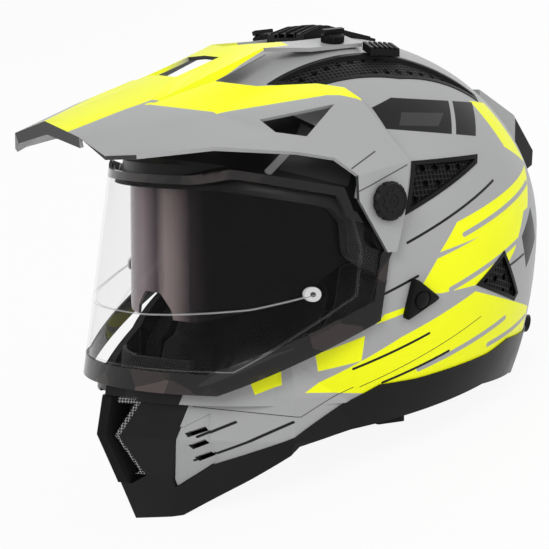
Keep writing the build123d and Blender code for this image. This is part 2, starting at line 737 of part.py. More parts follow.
def swept_room(lengths, turn):
    """The space that a section sweeps about the visor's axis, from low in front upwards."""
    start = radians(visor_room_start)
    plane = Plane(origin=(0, 0, -shield_pivot_down), x_dir=(1, 0, 0), z_dir=(0, sin(start), -cos(start)))
    return revolve(plane * Polygon(*lengths, align=None),
                   Axis(origin=(0, 0, -shield_pivot_down), direction=(-1, 0, 0)), turn)


@cache
def visor_room():
    """The space that the sun visor sweeps between the shell and the foam."""
    lens = grown(visor_room_shares, shell_half_width, shell_half_length)
    lens += [(-x, r) for x, r in reversed(lens[1:-1])]
    arm = swept_room(grown(visor_arm_room_shares, shell_half_width, shell_half_length), visor_arm_room_turn)
    arm += across(*shield_pivot, visor_hub_radius, visor_pin_start - fit_gap, shell_half_width)
    return swept_room(lens, visor_room_turn) + arm + mirror(arm, about=Plane.YZ)


def visor_lever():
    """The sliding lever under the left rim that works the sun visor."""
    y, z = grown([lever_share])[0]
    block = Pos(lever_x(), y, z - lever_height / 2) * Box(lever_width, lever_length, lever_height)
    return fillet(block.edges().filter_by(Axis.Z), lever_width / 4)


def lever_x():
    return shell_half_width * 0.712


def lever_rail():
    """The black track that the lever slides in."""
    y, z = grown([lever_share])[0]
    length = lever_rail_length
    rail = Pos(lever_x(), y, z + fit_gap + lever_rail_height / 2) * Box(
        lever_width * 1.6, length, lever_rail_height)
    return rail


# Straps
def webbing_band():
    """The strip of webbing that runs from the rivet down between foam and pad."""
    (ty, tz), (ly, lz) = grown([webbing_top_share, webbing_low_share])
    slope = atan2(ty - ly, tz - lz)
    length = hypot(ty - ly, tz - lz) + webbing_top
    face = Rectangle(webbing_width, length)
    middle = Plane.YZ * (Pos((ty + ly) / 2, (tz + lz) / 2) * Rot(0, 0, -degrees(slope)) * face)
    return leftwards(middle)


def strap_depth():
    return -shell_wall - 2 * fit_gap - cheek_foam_wall


def sling():
    """The part under the jaw: webbing that hangs in an arc from side to side."""
    y, z = grown([webbing_low_share])[0]
    top = z
    arc = ThreePointArc((-sling_half_span, top), (0, top - sling_drop), (sling_half_span, top))
    lower = ThreePointArc((sling_half_span, top - webbing_wall), (0, top - sling_drop - webbing_wall),
                          (-sling_half_span, top - webbing_wall))
    ends = [Line(arc @ 1, lower @ 0), Line(lower @ 1, arc @ 0)]
    face = make_face([arc, ends[0], lower, ends[1]])
    return Pos(0, y + webbing_width / 2, 0) * extrude(Plane.XZ * face, webbing_width, dir=(0, -1, 0))


def strap_half():
    """One side's webbing: down the wall from the rivet, then in to the buckle."""
    y, z = grown([webbing_low_share])[0]
    under = sling() & (Pos(sling_half_span, y, z) * Box(
        2 * sling_half_span - buckle_length, 2 * webbing_width, 4 * sling_drop))
    side = wall(strap_depth(), strap_depth() - webbing_wall) & webbing_band()
    return side + under


def buckle_low():
    return grown([webbing_low_share])[0][1] - sling_drop - webbing_wall - fit_gap


def buckle_axis():
    """The middle of the release lever's hinge pin, at one end of the base."""
    y = grown([webbing_low_share])[0][0]
    return Pos(-buckle_lever_length / 2, y, buckle_low() - buckle_wall - fit_gap - buckle_wall / 2)


def buckle_bar(radius, length):
    """A round bar along the release lever's hinge axis."""
    return buckle_axis() * Rot(90, 0, 0) * Cylinder(radius, length)


def buckle_base():
    """The ratchet buckle's base plate under the sling, with two cheeks, and lugs that hold the lever's pin."""
    y = grown([webbing_low_share])[0][0]
    plate = Pos(0, y, buckle_low() - buckle_wall / 2) * Box(buckle_length, buckle_width, buckle_wall)
    bridge_height = sling_drop / 4
    block = Pos(0, y, buckle_low() + bridge_height / 2) * Box(
        buckle_length - 2 * fit_gap, buckle_width, bridge_height)
    tunnel = Pos(0, y, buckle_low() + bridge_height / 2) * Box(
        2 * buckle_length, webbing_width + 2 * fit_gap, bridge_height)
    lugs = buckle_axis() * Pos(0, 0, fit_gap / 2) * (
        Box(buckle_wall, buckle_width, buckle_wall + fit_gap)
        - Box(2 * buckle_wall, buckle_lever_width + 2 * fit_gap, 2 * buckle_wall))
    return plate + (block - tunnel) + lugs + buckle_bar(buckle_pin_radius, buckle_width)


def buckle_lever():
    """The release lever: a plate with a barrel at one end, bored for the base's pin."""
    plate = buckle_axis() * Pos(buckle_lever_length / 2, 0, 0) * Box(
        buckle_lever_length, buckle_lever_width, buckle_wall)
    plate = fillet(plate.edges().filter_by(Axis.Z).group_by(Axis.X)[-1], buckle_wall)
    barrel = buckle_bar(buckle_wall / 2, buckle_lever_width)
    return plate + barrel - buckle_bar(buckle_pin_radius + pivot_gap, 2 * buckle_lever_width)


# Liners
def impact_foam():
    """The main foam, hollow for the head, with room for the sun visor to rise."""
    outer = form(-shell_wall - fit_gap)
    foam = outer - skull(-shell_wall - foam_wall) - through(offset(port_face, seat_gap))
    return largest(foam - below(foam_rear_shares) - visor_room())


def crown_pad():
    """The comfort liner over the top of the head."""
    start = -shell_wall - foam_wall - seat_gap
    return skull_wall(start, start - crown_pad_wall) & through(side_face(crown_pad_shares))


def cheek_region(inset):
    face = side_face(cheek_shares)
    return leftwards(offset(face, -inset, kind=Kind.INTERSECTION) if inset else face)


def cheek_foam():
    """Hard foam behind the cheek pad."""
    outer = -shell_wall - fit_gap
    foam = wall(outer, outer - cheek_foam_wall) & cheek_region(0)
    y, z = grown([webbing_top_share])[0]
    hole = across(y, z, rivet_radius + fit_gap, shell_half_width / 2, shell_half_width)
    return foam - hole - visor_room() - lever_room()


def lever_room():
    """Space in the cheek foam for the lever's track."""
    y, z = grown([lever_share])[0]
    return Pos(lever_x(), y, z) * Box(lever_width * 1.6 + 2 * fit_gap, lever_rail_length + 2 * fit_gap,
                                      2 * lever_rail_height + 4 * fit_gap)


def cheek_pad():
    """Soft cheek pad, inboard of the webbing."""
    outer = strap_depth() - webbing_wall - fit_gap
    pad = form(outer) & cheek_region(port_round / 3)
    face = Pos(0, skull_back, 0) * extrude(Ellipse(face_half_width, face_half_length), skull_drop, both=True)
    return largest(pad - face - visor_room() - lever_room())


def neck_roll():
    outer = -shell_wall - fit_gap
    return wall(outer, outer - neck_roll_wall) & through(side_face(neck_roll_shares))


def chin_foam():
    back = shell_half_length * cheek_shares[-2][0]
    limit = Pos(0, back - shell_half_length, 0) * Box(
        2 * shell_half_width, 2 * shell_half_length, 6 * crown_rise)
    foam = wall(-chin_foam_set_back, -chin_foam_set_back - chin_foam_wall)
    foam &= through(side_face(chin_foam_shares))
    return (foam & limit) - shutter_room()


def shutter_room():
    """Space for the chin shutter over its travel."""
    high, low = (share * crown_rise for share in shutter_height_shares)
    width = 2 * shutter_half_width_share * shell_half_width + 4 * fit_gap
    depth = -shutter_set_back - vent_spine_depth / 2 - shutter_wall - 2 * seat_gap
    window = Pos(0, -shell_half_length, high - crown_rise / 2) * Box(width, shell_half_length, crown_rise)
    return wall(0, depth) & window


def breath_guard():
    """The nose deflector that stands on the chin foam behind the sill."""
    low = chin_foam_shares[0][1] * crown_rise + fit_gap
    width = 2 * guard_half_width_share * shell_half_width
    window = Pos(0, -shell_half_length, low + guard_height / 2) * Box(
        width, shell_half_length, guard_height)
    return wall(-guard_set_back, -guard_set_back - guard_wall) & window


def chin_curtain():
    """The fabric wind stop across the bottom of the chin bar."""
    (front_y, front_z), (rear_y, rear_z) = grown(curtain_shares)
    face = Plane.YZ * Polygon((front_y, front_z), (rear_y, rear_z), (rear_y, rear_z - curtain_wall),
                              (front_y, front_z - curtain_wall), align=None)
    return through(face) & form(-chin_front_wall - fit_gap)


channel_frame, channel_screen = vent_pieces(channel_prism, "z", crown_rise / 2)
temple_frame, temple_screen = vent_pieces(temple_prism, "x", shell_half_width)
rear_frame, rear_screen = vent_pieces(rear_prism, "x", shell_half_width)

nodes = {
    "outer_shell": outer_shell(), "bottom_trim": bottom_trim(), "chin_housing": chin_housing(),
    "chin_vent_spine": chin_vent_spine(), "chin_vent_screens": chin_screens(),
    "chin_vent_shutter": chin_shutter(), "eyeport_gasket": eyeport_gasket(), "crown_scoop": crown_scoop(),
    "rear_spoiler": rear_spoiler(), "peak": peak(), "shield": shield(), "sun_visor": sun_visor(),
    "visor_lever": visor_lever(), "visor_lever_rail": lever_rail(), "impact_foam": impact_foam(),
    "crown_pad": crown_pad(), "neck_roll": neck_roll(), "chin_foam": chin_foam(),
    "breath_guard": breath_guard(), "chin_curtain": chin_curtain(), "buckle_base": buckle_base(),
    "buckle_lever": buckle_lever()}

for name, shape in (
        ("gill_louvre", gill_louvre()), ("crown_vent_frame", channel_frame), ("crown_vent_screen", channel_screen),
        ("temple_vent_frame", temple_frame), ("temple_vent_screen", temple_screen),
        ("rear_vent_frame", rear_frame), ("rear_vent_screen", rear_screen), ("vent_slider", vent_slider()),
        ("strap_cap", strap_cap()), ("peak_knob", peak_knob()), ("crown_screw", crown_screw()),
        ("cheek_foam", cheek_foam()), ("cheek_pad", cheek_pad()), ("chin_strap", strap_half())):
    for side, piece in pair(shape).items():
        nodes[name + "_" + side] = piece

for name, shape in (("strap_rivets", strap_rivet()), ("shield_pivots", shield_boss()),
                    ("visor_pins", visor_pin()), ("insert_pins", insert_pin()),
                    ("rear_clips", rear_clip())):
    nodes[name] = Compound(children=[*shape.solids(), *mirror(shape, about=Plane.YZ).solids()])


# Placing on the table: the chin tips up until chin and rear rim touch it
def placed(shape, shift):
    return Pos(0, shift, table_lift) * Rot(-rest_tilt, 0, 0) * shape


tilt = radians(rest_tilt)
rest_y, rest_z = grown([chin_rest_share])[0]
table_lift = rest_y * sin(tilt) - rest_z * cos(tilt) - rest_flat
boxes = [placed(nodes[name], 0).bounding_box() for name in ("rear_spoiler", "chin_vent_spine")]
table_shift = -(min(box.min.Y for box in boxes) + max(box.max.Y for box in boxes)) / 2
under_table = Pos(0, 0, -skull_drop) * Box(4 * shell_half_width, 4 * shell_half_length, 2 * skull_drop)

for name, shape in nodes.items():
    piece = placed(shape, table_shift)
    if piece.bounding_box().min.Z < 0:
        piece = piece - under_table
    export_step(piece, "parts/" + name + ".step")
print("lift", round(table_lift, 4), "shift", round(table_shift, 4))
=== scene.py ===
import json

import bmesh
import bpy
import numpy as np
from mathutils import Matrix, Vector


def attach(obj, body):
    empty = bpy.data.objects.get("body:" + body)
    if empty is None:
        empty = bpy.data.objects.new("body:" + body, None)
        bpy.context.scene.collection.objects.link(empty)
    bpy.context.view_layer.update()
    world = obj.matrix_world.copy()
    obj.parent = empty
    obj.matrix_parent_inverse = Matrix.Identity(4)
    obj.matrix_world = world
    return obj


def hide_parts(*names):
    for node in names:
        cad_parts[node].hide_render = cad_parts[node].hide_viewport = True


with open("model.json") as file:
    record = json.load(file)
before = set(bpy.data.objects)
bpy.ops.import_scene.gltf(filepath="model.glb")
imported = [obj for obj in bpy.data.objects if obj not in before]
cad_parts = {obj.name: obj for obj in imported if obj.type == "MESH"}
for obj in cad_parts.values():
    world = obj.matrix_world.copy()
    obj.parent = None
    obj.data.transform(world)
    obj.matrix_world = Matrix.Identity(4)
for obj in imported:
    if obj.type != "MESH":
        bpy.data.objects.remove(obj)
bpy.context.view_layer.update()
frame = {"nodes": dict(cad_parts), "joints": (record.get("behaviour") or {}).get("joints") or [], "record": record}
mm = 0.001

# The head frame is the helmet's own level: the helmet rests with its chin tipped up.
joints = {joint["name"]: joint for joint in frame["joints"]}
head_origin = np.array(joints["peak_tilt"]["pos_m"])
head_left = np.array([1.0, 0.0, 0.0])
head_back = np.array(joints["visor_lever_slide"]["axis"])
head_up = np.cross(head_left, head_back)


def placed(points):
    """Head-frame points, in millimetres, in the row frame in metres: a sum of steps along the head's axes."""
    points = np.asarray(points, float) * mm
    side, back, up = points[..., :1], points[..., 1:2], points[..., 2:]
    return head_origin + side * head_left + back * head_back + up * head_up


def pointed(direction):
    """A head-frame direction in the row frame."""
    return Vector(np.asarray(placed(direction) - placed((0, 0, 0)))).normalized()


# Shader maths
mix_first, mix_second, mix_result = 6, 7, 2


class Wire:
    """A shader socket. Sums, products and differences of wires add the Math nodes that work them out."""

    def __init__(self, tree, socket=None):
        self.tree, self.socket = tree, socket

    def node(self, kind, settings=None, values=None, output=0):
        """Adds a node: its settings first, then the values or wires of its sockets."""
        node = self.tree.nodes.new("ShaderNode" + kind)
        for name, value in (settings or {}).items():
            if name == "stops":
                while len(node.color_ramp.elements) < len(value):
                    node.color_ramp.elements.new(1.0)
                for stop, (place, colour) in zip(node.color_ramp.elements, value):
                    stop.position, stop.color = place, colour
            else:
                setattr(node, name, value)
        for name, value in (values or {}).items():
            if isinstance(value, Wire):
                self.tree.links.new(value.socket, node.inputs[name])
            else:
                node.inputs[name].default_value = value
        return Wire(self.tree, node.outputs[output])

    def maths(self, operation, second=0.0):
        return self.node("Math", {"operation": operation}, {0: self, 1: second})

    def __add__(self, other):
        return self.maths("ADD", other)

    __radd__ = __add__

    def __mul__(self, other):
        return self.maths("MULTIPLY", other)

    __rmul__ = __mul__

    def __sub__(self, other):
        return self.maths("SUBTRACT", other)

    def __rsub__(self, other):
        return self.node("Math", {"operation": "SUBTRACT"}, {0: other, 1: self})

    def least(self, other):
        return self.maths("MINIMUM", other)

    def most(self, other):
        return self.maths("MAXIMUM", other)

    def clamped(self):
        return self.node("Clamp", None, {"Value": self})

    def dot(self, direction):
        return self.node("VectorMath", {"operation": "DOT_PRODUCT"}, {0: self, 1: tuple(direction)}, "Value")

    def mixed(self, first, second):
        """The first colour where this wire is 0, the second where it is 1."""
        inputs = {"Factor": self, mix_first: first, mix_second: second}
        return self.node("Mix", {"data_type": "RGBA"}, inputs, mix_result)

    def between(self, low, high):
        """The value that is low where this wire is 0 and high where it is 1."""
        return self * (high - low) + low

    def toned(self, colour):
        """The colour times this wire."""
        start = colour if isinstance(colour, Wire) else colour[:3]
        return self.node("VectorMath", {"operation": "SCALE"}, {0: start, "Scale": self})

    def noise(self, scale, detail=3.0):
        return self.node("TexNoise", None, {"Vector": self, "Scale": scale, "Detail": detail}, "Fac")

    def bump(self, strength, depth):
        return self.node("Bump", None, {"Height": self, "Strength": strength, "Distance": depth})


def wired(name, recipe, blended=False):
    """A material whose recipe gets the piece's own point and returns the shader's socket values."""
    material = bpy.data.materials.new(name)
    material.use_nodes = True
    tree = material.node_tree
    shader = tree.nodes["Principled BSDF"]
    point = Wire(tree).node("TexCoord", None, None, "Object")
    for socket, value in recipe(point).items():
        if isinstance(value, Wire):
            tree.links.new(value.socket, shader.inputs[socket])
        else:
            shader.inputs[socket].default_value = value
    if blended:
        material.surface_render_method = "BLENDED"
    return material


def grey(level):
    return (level, level, level, 1.0)


def head_place(point):
    """The head-frame place of a point, in millimetres: its distance to the side, back and up."""
    side = point.dot(head_left / mm).maths("ABSOLUTE")
    back = point.dot(head_back / mm) - float(head_origin @ head_back) / mm
    up = point.dot(head_up / mm) - float(head_origin @ head_up) / mm
    return side, back, up


# How many millimetres the edge of a printed shape and of a printed line takes to fade
shape_softness, line_softness = 0.35, 0.3


def inside(across, along, corners):
    """1 inside a convex outline: the least of the distances from its edges, made a sharp step."""
    corners = np.asarray(corners, float)
    middle = corners.mean(axis=0)
    least = None
    for start, end in zip(corners, np.roll(corners, -1, axis=0)):
        normal = np.array([start[1] - end[1], end[0] - start[0]]) / np.hypot(*(end - start))
        normal *= np.sign(normal @ (middle - start))
        distance = across * float(normal[0]) + (along * float(normal[1]) - float(normal @ start))
        least = distance if least is None else least.least(distance)
    return (least * (1 / shape_softness) + 0.5).clamped()


def any_of(masks):
    """1 where any of the masks is 1."""
    found = masks[0]
    for mask in masks[1:]:
        found = found.most(mask)
    return found


def cell(place, pitch):
    """How far a place is from the middle of its cell, in rows of cells of the pitch: 0 to 0.5."""
    return ((place * (1 / pitch)).maths("FRACT") - 0.5).maths("ABSOLUTE")


def near_line(across, along, ends, width):
    """1 within half the width of the line between two points, with round ends."""
    start, end = (np.array(point, float) for point in ends)
    length = float(np.hypot(*(end - start)))
    step = (end - start) / length
    reach = across * float(step[0]) + (along * float(step[1]) - float(step @ start))
    foot = reach.most(0.0).least(length)
    off_across = across - (foot * float(step[0]) + float(start[0]))
    off_along = along - (foot * float(step[1]) + float(start[1]))
    distance = (off_across * off_across + off_along * off_along).maths("SQRT")
    return ((width / 2 - distance) * (1 / line_softness) + 0.5).clamped()


def line_through(across, along, points, width):
    """1 within half the width of the line that runs through the points."""
    return any_of([near_line(across, along, ends, width) for ends in zip(points[:-1], points[1:])])


def facing(point):
    """The surface's own direction."""
    return point.node("TexCoord", None, None, "Normal")


def faces(point, direction, least, sharpness):
    """1 where the surface faces a direction: where the cosine of the angle to it is above the least."""
    return (facing(point).dot(direction) * sharpness - sharpness * least).clamped()


head_middle = (0, 30, -20)
outer_start, outer_sharpness = 0.01, 400.0


def outer_side(point):
    """1 where the surface faces away from the middle of the head, 0 where it faces in."""
    middle = tuple(float(value) for value in placed(head_middle))
    away = point.node("VectorMath", {"operation": "SUBTRACT"}, {0: point, 1: middle})
    reach = point.node("VectorMath", {"operation": "DOT_PRODUCT"}, {0: facing(point), 1: away}, "Value")
    return (reach * outer_sharpness - outer_sharpness * outer_start).clamped()


# Finishes
paint_grey = (0.368, 0.37, 0.374, 1.0)
signal_yellow = (0.93, 0.97, 0.006, 1.0)
print_black = (0.0035, 0.0035, 0.004, 1.0)
print_charcoal = (0.035, 0.035, 0.037, 1.0)
# The cloth's black is darker than the cloth itself, as painted shade for the helmet's inside
cloth_black_with_painted_shade = (0.018, 0.018, 0.02, 1.0)
facet_dark, facet_bronze = (0.004, 0.0035, 0.0035, 1.0), (0.12, 0.09, 0.085, 1.0)
flake_scale, cloud_scale, skin_scale = 2600, 28, 420


def paint_surface(point, colour):
    """Satin paint: fine flakes in the colour, a slight unevenness in the gloss and an orange-peel skin."""
    flake = point.noise(flake_scale, 1.0)
    cloud = point.noise(cloud_scale, 3.0)
    shade = flake.between(-0.04, 0.04) + cloud.between(0.98, 1.02)
    return {"Base Color": shade.toned(colour), "Roughness": cloud.between(0.33, 0.43),
            "Specular IOR Level": 0.22,
            "Normal": point.noise(skin_scale, 2.0).bump(0.1, 0.4 * mm)}


# Prints of the shell, as (back, up) corners or ends in millimetres in the head frame
rear_band = [(106, 58), (130, 56), (158, 16), (124, 28)]
yellow_shapes = [[(44, -34), (58, -16), (154, 15), (140, -12)],
                 [(26, -62), (42, -38), (136, -7), (118, -38), (92, -63), (46, -60)],
                 rear_band,
                 [(-36, -119), (20, -86), (76, -61), (154, -80), (154, -108), (10, -122)],
                 [(-31, -95), (-4, -84), (-4, -100), (-28, -106)],
                 [(-66, -106), (-48, -103), (-48, -114), (-62, -120)],
                 [(2, -77), (7, -71), (24, -66), (20, -71)]]
black_shapes = [[(17, 55), (34, 61), (108, 57), (92, 36), (20, 42)],
                [(128, -30), (146, -12), (158, -34), (138, -52)],
                [(-118, 2), (-12, 0), (-2, 30), (-40, 58), (-118, 58)],
                [(-95, 14), (-21, 8), (8, -12), (9, -30), (1, -73), (-95, -117)]]
charcoal_shapes = [[(-48, 18), (-14, 8), (-6, 26), (-28, 46)], [(30, 44), (60, 43), (70, 51), (36, 52)]]
yellow_gaps = [((54, -58), (122, -32)), ((36, -108), (112, -82)), ((64, -24), (146, 4)),
               ((96, -98), (150, -86))]
light_lines = [((-53, 17), (-39, 31)), ((70, 36), (84, 60))]
black_lines = [((20, -27), (97, 8)), ((6, -58), (28, -48)), ((-8, -105), (40, -85)), ((12, -115), (58, -98)),
               ((-86, -148), (-69, -138)), ((-84, -164), (-43, -137)), ((96, -52), (132, -42))]
shell_seams = [((-88, -129), (-38, -134)), ((-38, -134), (-6, -117)), ((-2, -117), (84, -78))]
gap_width, light_width, stripe_width, seam_width = 3.2, 3.4, 1.7, 0.5


def printed_shell(point):
    """Grey paint with yellow, black, charcoal and light prints, and plain black on the side that faces in."""
    back, up = head_place(point)[1:]
    yellow = any_of([inside(back, up, shape) for shape in yellow_shapes])
    gaps = any_of([near_line(back, up, ends, gap_width) for ends in yellow_gaps])
    black = any_of([inside(back, up, shape) for shape in black_shapes]
                   + [near_line(back, up, ends, stripe_width) for ends in black_lines]
                   + [near_line(back, up, ends, seam_width) for ends in shell_seams])
    charcoal = any_of([inside(back, up, shape) for shape in charcoal_shapes])
    light = any_of([near_line(back, up, ends, light_width) for ends in light_lines])
    colour = (yellow - gaps).clamped().mixed(paint_grey, signal_yellow)
    colour = black.mixed(colour, print_black)
    colour = charcoal.mixed(colour, print_charcoal)
    colour = light.mixed(colour, paint_grey)
    colour = outer_side(point).mixed(print_black, colour)
    return paint_surface(point, colour)


# Prints of the peak, as (side, back) corners, and the seams of its ears as (back, up) ends
peak_yellow_shapes = [[(0, -166), (27, -166), (40, -92), (34, -4), (0, -4)],
                      [(39.5, -115.5), (77, -87), (98, 6), (84, 12), (39.5, -60)]]
ear_seams = [((-25, 20), (-3, 29.5)), ((-24, 5.5), (17.5, 21))]
ear_start, ear_seam_width = 112, 0.7


def printed_peak(point):
    """Grey paint with yellow panels where it faces up, a charcoal lip where it faces front, and ear seams."""
    side, back, up = head_place(point)
    yellow = any_of([inside(side, back, shape) for shape in peak_yellow_shapes])
    upper = faces(point, head_up, 0.15, 12.0)
    front = faces(point, -head_back, 0.75, 10.0)
    seams = any_of([near_line(back, up, ends, ear_seam_width) for ends in ear_seams])
    seams = seams * (side - ear_start).clamped()
    colour = (yellow * upper).mixed(paint_grey, signal_yellow)
    colour = any_of([front, seams]).mixed(colour, print_charcoal)
    return paint_surface(point, colour)


spoiler_black_start, spoiler_black_sharpness = 190, 2.0


def printed_spoiler(point):
    """Grey paint with a black tip, and the shell's rear band carried on over its flanks."""
    back, up = head_place(point)[1:]
    tip = ((back - spoiler_black_start) * spoiler_black_sharpness).clamped()
    flank = inside(back, up, rear_band) * (1.0 - faces(point, head_up, 0.5, 6.0))
    colour = flank.mixed(paint_grey, signal_yellow)
    return paint_surface(point, tip.mixed(colour, print_black))


plastic_patch_scale, plastic_grain_scale = 55, 900
plastic_unevenness = 0.08


def moulded(level, roughness=0.4, gloss=0.1):
    """Moulded plastic: a fine grain in the skin and soft patches of gloss."""
    def recipe(point):
        patch = point.noise(plastic_patch_scale, 3.0)
        return {"Base Color": patch.between(0.85, 1.15).toned(grey(level)),
                "Roughness": patch.between(roughness - plastic_unevenness, roughness + plastic_unevenness),
                "Specular IOR Level": gloss,
                "Normal": point.noise(plastic_grain_scale, 2.0).bump(0.3, 0.3 * mm)}
    return recipe


# A screen: how far a hole reaches in its cell, how sharp its rim is, and the slope of the side screens
hole_share, rim_sharpness = 0.33, 12.0
slope_up_share, slope_side_share = 0.8, 0.6


def screen_plastic(level, hole_shade_level, pitch, from_front=False):
    """A perforated screen: rows of small square holes painted dark as painted shade, with a raised rim between
    them.
    """
    def recipe(point):
        side, back, up = head_place(point)
        along, across = (side, up) if from_front else (back, up * slope_up_share - side * slope_side_share)
        near = cell(along, pitch).most(cell(across, pitch))
        rim = ((near - hole_share) * rim_sharpness).clamped()
        # The holes are only painted: their near black is painted shade for the dark inside seen through them
        return {"Base Color": rim.mixed(grey(hole_shade_level), grey(level)), "Roughness": rim.between(0.75, 0.45),
                "Specular IOR Level": 0.1, "Normal": rim.bump(0.8, 0.8 * mm)}
    return recipe


bead_scale, bead_sharpness = 300, 5.0


def foam_beads(point):
    """Expanded foam: tight beads with dark joints, in blacks made darker still as painted shade for the inside of
    the helmet.
    """
    cells = point.node("TexVoronoi", {"feature": "DISTANCE_TO_EDGE"}, {"Vector": point, "Scale": bead_scale})
    bead = (cells * bead_sharpness).clamped()
    return {"Base Color": bead.mixed(grey(0.003), grey(0.012)), "Roughness": 0.8, "Specular IOR Level": 0.15,
            "Normal": bead.bump(0.5, 0.8 * mm)}


def bands(point, direction, scale, distortion, detail=2.0):
    """Soft bands across a direction, as threads lie in cloth."""
    settings = {"wave_type": "BANDS", "bands_direction": direction}
    return point.node("TexWave", settings, {"Vector": point, "Scale": scale, "Distortion": distortion,
                                            "Detail": detail})


knit_scale, nap_scale = 420, 700
rib_share, nap_share = 0.4, 0.6


def brushed_fabric(point):
    """Liner cloth: a knit of small loops with a soft nap, in a black made darker still as painted shade for the
    inside of the helmet.
    """
    ribs = bands(point, "DIAGONAL", knit_scale, 1.5, detail=1.0)
    tone = ribs * rib_share + point.noise(nap_scale, 3.0) * nap_share
    return {"Base Color": tone.mixed(grey(0.003), cloth_black_with_painted_shade), "Roughness": 0.85, "Specular IOR Level": 0.15,
            "Sheen Weight": 0.06, "Sheen Roughness": 0.5, "Normal": tone.bump(0.5, 0.5 * mm)}


weft_scale, warp_scale = 300, 260


def woven_webbing(point):
    """Webbing: yarns crossed along and across the strap."""
    yarn = bands(point, "X", weft_scale, 0.4) * bands(point, "Y", warp_scale, 0.4)
    return {"Base Color": yarn.mixed(grey(0.004), grey(0.03)), "Roughness": 0.7,
            "Normal": yarn.bump(0.7, 0.6 * mm)}


rubber_grain_scale = 1100


def rubber(point):
    """Soft black rubber with a fine grain."""
    grain = point.noise(rubber_grain_scale, 2.0)
    return {"Base Color": grain.mixed(grey(0.003), grey(0.008)), "Roughness": 0.6, "Specular IOR Level": 0.2,
            "Normal": grain.bump(0.3, 0.3 * mm)}


brush_scales = (60, 2600, 2600)


def brushed_steel(point):
    """Steel brushed from side to side: a grain that is long across the head and fine the other ways."""
    grain = point.node("Mapping", None, {"Vector": point, "Scale": brush_scales}).noise(1.0, 2.0)
    return {"Base Color": grain.mixed(grey(0.42), grey(0.6)), "Metallic": 1.0,
            "Roughness": grain.between(0.25, 0.4)}


# The shield's outline, the line of the insert in it and its pin, as (back, up) in the head frame
shield_outline = [(-190, 14), (-89, 14), (-74, 18.5), (-21, 8), (-16, -6), (-6, -9.5), (5, -11), (10, -18),
                  (10, -27), (6, -36), (1, -74), (-88, -119), (-190, -119)]
shield_sill = shield_outline[-3:]
shield_rim_width, shield_sill_width = 11, 26
insert_line = [(-38, -57), (-70, -66), (-110, -72), (-190, -72)]
insert_edge = [(-16, -12), (-11, -30), (-14, -58), (-80, -104), (-190, -106)]
insert_line_width, insert_edge_width = 0.7, 0.6
insert_line_share, insert_edge_share = 0.9, 0.35
pin_place = (-38, -56.8)
pin_core_radius, pin_core_sharpness, pin_patch_scale = 1.6, 4.0, 300
facet_scale, facet_power = 45, 5.0


def clear_lens(point):
    """Clear polished plastic with a dark tinted rim of brownish facets, and the fine lines of an insert."""
    back, up = head_place(point)[1:]
    edge = point.node("LayerWeight", None, {"Blend": 0.22}, "Facing")
    rim = any_of([line_through(back, up, shield_outline, shield_rim_width),
                  line_through(back, up, shield_sill, shield_sill_width)])
    facet = point.node("TexVoronoi", {"feature": "F1"}, {"Vector": point, "Scale": facet_scale}, "Color")
    tint = facet.maths("POWER", facet_power).clamped().mixed(facet_dark, facet_bronze)
    lines = any_of([line_through(back, up, insert_line, insert_line_width) * insert_line_share,
                    line_through(back, up, insert_edge, insert_edge_width) * insert_edge_share])
    colour = lines.mixed(rim.mixed(grey(0.06), tint), grey(0.5))
    alpha = edge.maths("POWER", 4.0).between(0.035, 0.435)
    return {"Base Color": colour, "Alpha": any_of([alpha, rim * 0.88, lines * 0.6]), "Roughness": 0.04,
            "Specular IOR Level": 0.35}


# Painted reflection: colour bands by how far the visor turns from the view, standing in for a studio lamp's
# reflection
visor_painted_reflection_stops = [
    (0.0, grey(0.0008)), (0.13, grey(0.001)), (0.2, (0.025, 0.018, 0.022, 1)), (0.3, (0.24, 0.19, 0.19, 1)),
    (0.36, (0.3, 0.24, 0.24, 1)), (0.44, (0.07, 0.055, 0.065, 1)), (0.6, (0.3, 0.23, 0.25, 1)),
    (1.0, (0.4, 0.34, 0.35, 1))]


def smoked_lens(point):
    """Smoked plastic, near black face on, with painted reflection bands in violet and bronze where the curve turns
    away.
    """
    edge = point.node("LayerWeight", None, {"Blend": 0.5}, "Facing")
    # The colour is painted reflection set by Layer Weight; the alpha is the smoked tint
    colour = edge.node("ValToRGB", {"stops": visor_painted_reflection_stops}, {"Fac": edge})
    return {"Base Color": colour, "Alpha": edge.between(0.95, 0.75), "Roughness": 0.06,
            "Specular IOR Level": 0.06}


def insert_plastic(point):
    """White pins with a dark bore."""
    back, up = head_place(point)[1:]
    off_back, off_up = back - pin_place[0], up - pin_place[1]
    distance = (off_back * off_back + off_up * off_up).maths("SQRT")
    bore = ((pin_core_radius - distance) * pin_core_sharpness + 0.5).clamped()
    return {"Base Color": bore.mixed(grey(0.62), grey(0.02)),
            "Roughness": point.noise(pin_patch_scale).between(0.35, 0.45)}


finishes = {
    "shell_paint": wired("printed_shell", printed_shell),
    "spoiler_plastic": wired("printed_spoiler", printed_spoiler),
    "trim_plastic": wired("trim_plastic", moulded(0.006, gloss=0.16, roughness=0.34)),
    "black_plastic": wired("black_plastic", moulded(0.0045)),
    "knob_grey": wired("knob_plastic", moulded(0.012)),
    # Each screen's second number is the painted shade of its holes
    "pale_screen": wired("pale_screen", screen_plastic(0.42, 0.02, 1.7, from_front=True)),
    "vent_screen": wired("vent_screen", screen_plastic(0.016, 0.001, 2.9)),
    "gasket_rubber": wired("gasket_rubber", rubber),
    "clear_lens": wired("clear_lens", clear_lens, blended=True),
    "smoked_lens": wired("smoked_lens", smoked_lens, blended=True),
    "liner_foam": wired("foam_beads", foam_beads),
    "liner_fabric": wired("brushed_fabric", brushed_fabric),
    "strap_webbing": wired("woven_webbing", woven_webbing),
    "buckle_plastic": wired("buckle_plastic", moulded(0.01, roughness=0.25)),
    "steel": wired("brushed_steel", brushed_steel)}
